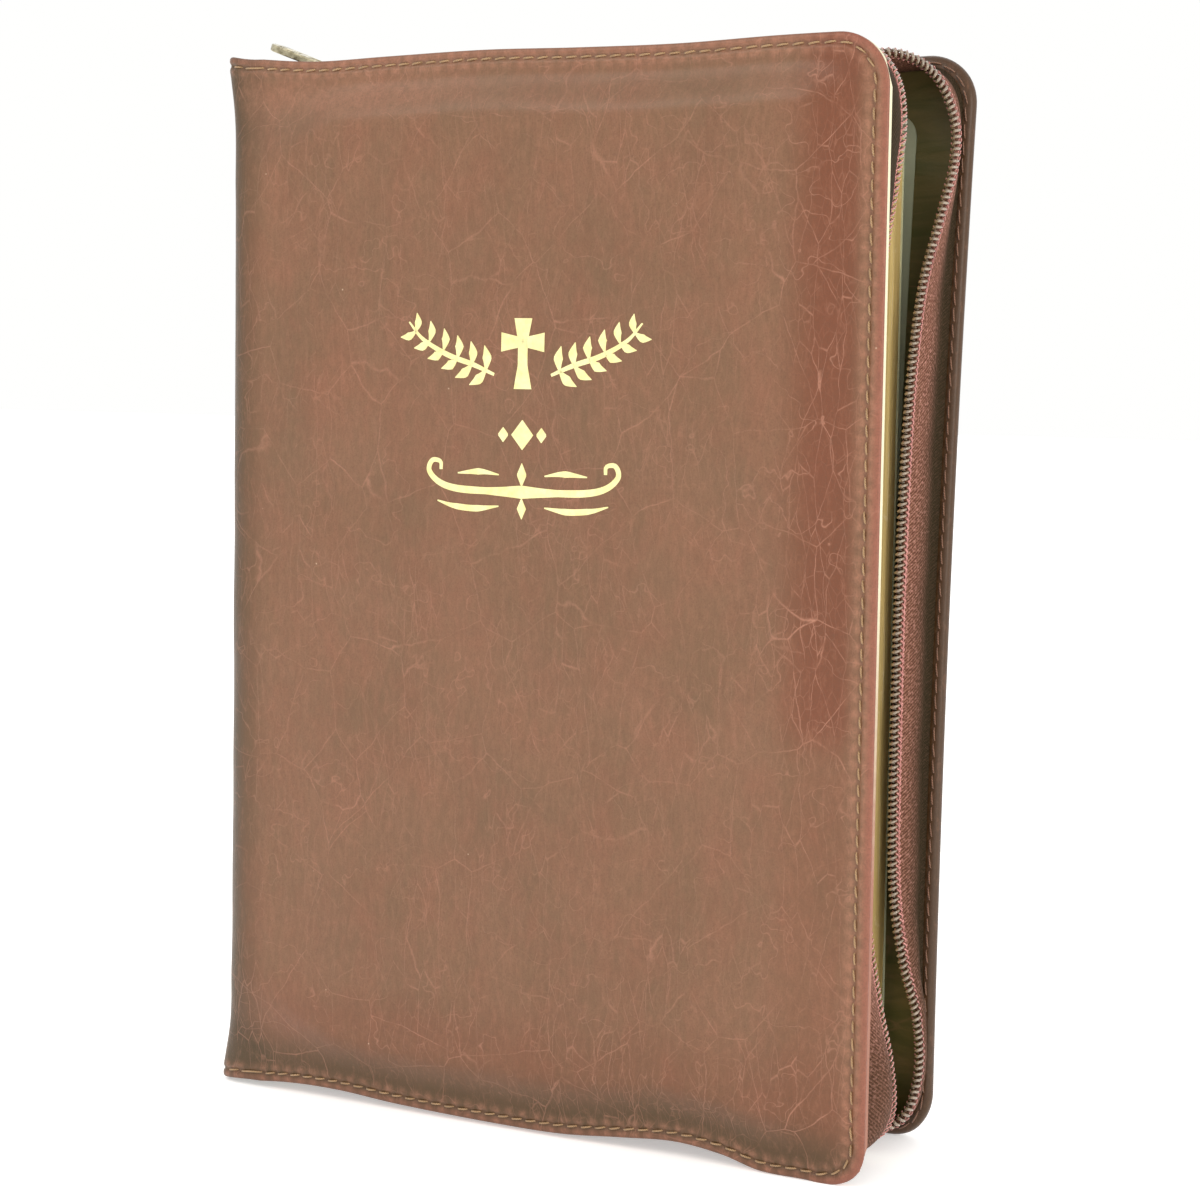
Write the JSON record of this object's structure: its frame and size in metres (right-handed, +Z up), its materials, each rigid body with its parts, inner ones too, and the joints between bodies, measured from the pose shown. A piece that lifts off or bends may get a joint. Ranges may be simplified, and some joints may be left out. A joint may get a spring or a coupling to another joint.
{
  "type": "zip-around leather bible",
  "caption": "Thick book with padded leather covers and gilt-edged leaves; its covers open on spine hinges, the leaves fan out, and a slider with a pull runs on an open zip along the head.",
  "frame": {"origin": "middle of the base that the closed book stands on", "axes": "+Z up towards the head of the book, -Y out of the front cover, -X out of the spine, +X out of the fore edge"},
  "size_m": [0.1731, 0.0541, 0.2568],
  "materials": {
    "cover_leather": "semi-gloss, mottled brown with fine pale veins",
    "foam": "soft foam",
    "board": "matte grey board",
    "interlining": "pale cut edge",
    "lining": "matte, very dark brown",
    "endpaper": "matte grey green",
    "thread": "waxed tan thread",
    "zip_tape": "twill, burgundy brown",
    "zip_coil": "dark, glossy",
    "antique_brass": "antiqued, worn at the edges",
    "foil": "gold foil",
    "leaves": "thin leaves with gilt edges",
    "gauze": "open weave",
    "band": "woven head band"
  },
  "bodies": {
    "spine": {"spine_leather": "cover_leather", "spine_card": "board", "spine_pad": "foam", "spine_gauze": "gauze", "sewn_back": "leaves", "head_band": "band", "tail_band": "band", "middle_leaves": "leaves", "zip_end_tapes": "zip_tape", "zip_end_chain": "zip_coil", "zip_bottom_stop": "antique_brass"},
    "front_cover": {"front_leather": "cover_leather", "front_foam_pad": "foam", "front_board": "board", "front_interlining": "interlining", "front_lining": "lining", "front_pastedown": "endpaper", "front_stitching": "thread", "front_zip_tape": "zip_tape", "front_zip_coil": "zip_coil", "front_top_stop": "antique_brass", "front_foil_ornament": "foil"},
    "back_cover": {"back_leather": "cover_leather", "back_foam_pad": "foam", "back_board": "board", "back_interlining": "interlining", "back_lining": "lining", "back_pastedown": "endpaper", "back_stitching": "thread", "back_zip_tape": "zip_tape", "back_zip_coil": "zip_coil", "back_top_stop": "antique_brass"},
    "front_flyleaf": {"front_flyleaf": "endpaper"},
    "front_leaves_1": {"front_leaves_1": "leaves"},
    "front_leaves_2": {"front_leaves_2": "leaves"},
    "front_leaves_3": {"front_leaves_3": "leaves"},
    "front_leaves_4": {"front_leaves_4": "leaves"},
    "back_flyleaf": {"back_flyleaf": "endpaper"},
    "back_leaves_1": {"back_leaves_1": "leaves"},
    "back_leaves_2": {"back_leaves_2": "leaves"},
    "back_leaves_3": {"back_leaves_3": "leaves"},
    "back_leaves_4": {"back_leaves_4": "leaves"},
    "slider": {"slider_body": "antique_brass"},
    "pull": {"pull_tab": "antique_brass"}
  },
  "joints": [
    {"name": "front_cover_hinge", "type": "hinge", "parent": "spine", "child": "front_cover", "pos_m": [-0.076, -0.027, 0], "axis": [0, 0, 1], "range_deg": [-160, 0]},
    {"name": "back_cover_hinge", "type": "hinge", "parent": "spine", "child": "back_cover", "pos_m": [-0.076, 0.027, 0], "axis": [0, 0, 1], "range_deg": [0, 160]},
    {"name": "front_flyleaf_turn", "type": "hinge", "parent": "spine", "child": "front_flyleaf", "pos_m": [-0.0704, -0.01985, 0], "axis": [0, 0, 1], "range_deg": [-107.2, 0]},
    {"name": "front_leaves_1_turn", "type": "hinge", "parent": "spine", "child": "front_leaves_1", "pos_m": [-0.07, -0.0194, 0], "axis": [0, 0, 1], "range_deg": [-92.8, 0]},
    {"name": "front_leaves_2_turn", "type": "hinge", "parent": "spine", "child": "front_leaves_2", "pos_m": [-0.07, -0.01508, 0], "axis": [0, 0, 1], "range_deg": [-70.4, 0]},
    {"name": "front_leaves_3_turn", "type": "hinge", "parent": "spine", "child": "front_leaves_3", "pos_m": [-0.07, -0.01075, 0], "axis": [0, 0, 1], "range_deg": [-48, 0]},
    {"name": "front_leaves_4_turn", "type": "hinge", "parent": "spine", "child": "front_leaves_4", "pos_m": [-0.07, -0.00643, 0], "axis": [0, 0, 1], "range_deg": [-24, 0]},
    {"name": "back_flyleaf_turn", "type": "hinge", "parent": "spine", "child": "back_flyleaf", "pos_m": [-0.0704, 0.01985, 0], "axis": [0, 0, 1], "range_deg": [0, 107.2]},
    {"name": "back_leaves_1_turn", "type": "hinge", "parent": "spine", "child": "back_leaves_1", "pos_m": [-0.07, 0.0194, 0], "axis": [0, 0, 1], "range_deg": [0, 92.8]},
    {"name": "back_leaves_2_turn", "type": "hinge", "parent": "spine", "child": "back_leaves_2", "pos_m": [-0.07, 0.01508, 0], "axis": [0, 0, 1], "range_deg": [0, 70.4]},
    {"name": "back_leaves_3_turn", "type": "hinge", "parent": "spine", "child": "back_leaves_3", "pos_m": [-0.07, 0.01075, 0], "axis": [0, 0, 1], "range_deg": [0, 48]},
    {"name": "back_leaves_4_turn", "type": "hinge", "parent": "spine", "child": "back_leaves_4", "pos_m": [-0.07, 0.00643, 0], "axis": [0, 0, 1], "range_deg": [0, 24]},
    {"name": "zip_slide", "type": "slide", "parent": "spine", "child": "slider", "axis": [1, 0, 0], "range_m": [0, 0.11]},
    {"name": "pull_swing", "type": "hinge", "parent": "slider", "child": "pull", "pos_m": [-0.0697, 0, 0.24948], "axis": [0, 1, 0], "range_deg": [0, 140]}
  ],
  "couplings": [
    {"joint": "front_flyleaf_turn", "follows": "front_cover_hinge", "ratio": 0.67},
    {"joint": "front_leaves_1_turn", "follows": "front_cover_hinge", "ratio": 0.58},
    {"joint": "front_leaves_2_turn", "follows": "front_cover_hinge", "ratio": 0.44},
    {"joint": "front_leaves_3_turn", "follows": "front_cover_hinge", "ratio": 0.3},
    {"joint": "front_leaves_4_turn", "follows": "front_cover_hinge", "ratio": 0.15},
    {"joint": "back_flyleaf_turn", "follows": "back_cover_hinge", "ratio": 0.67},
    {"joint": "back_leaves_1_turn", "follows": "back_cover_hinge", "ratio": 0.58},
    {"joint": "back_leaves_2_turn", "follows": "back_cover_hinge", "ratio": 0.44},
    {"joint": "back_leaves_3_turn", "follows": "back_cover_hinge", "ratio": 0.3},
    {"joint": "back_leaves_4_turn", "follows": "back_cover_hinge", "ratio": 0.15}
  ]
}
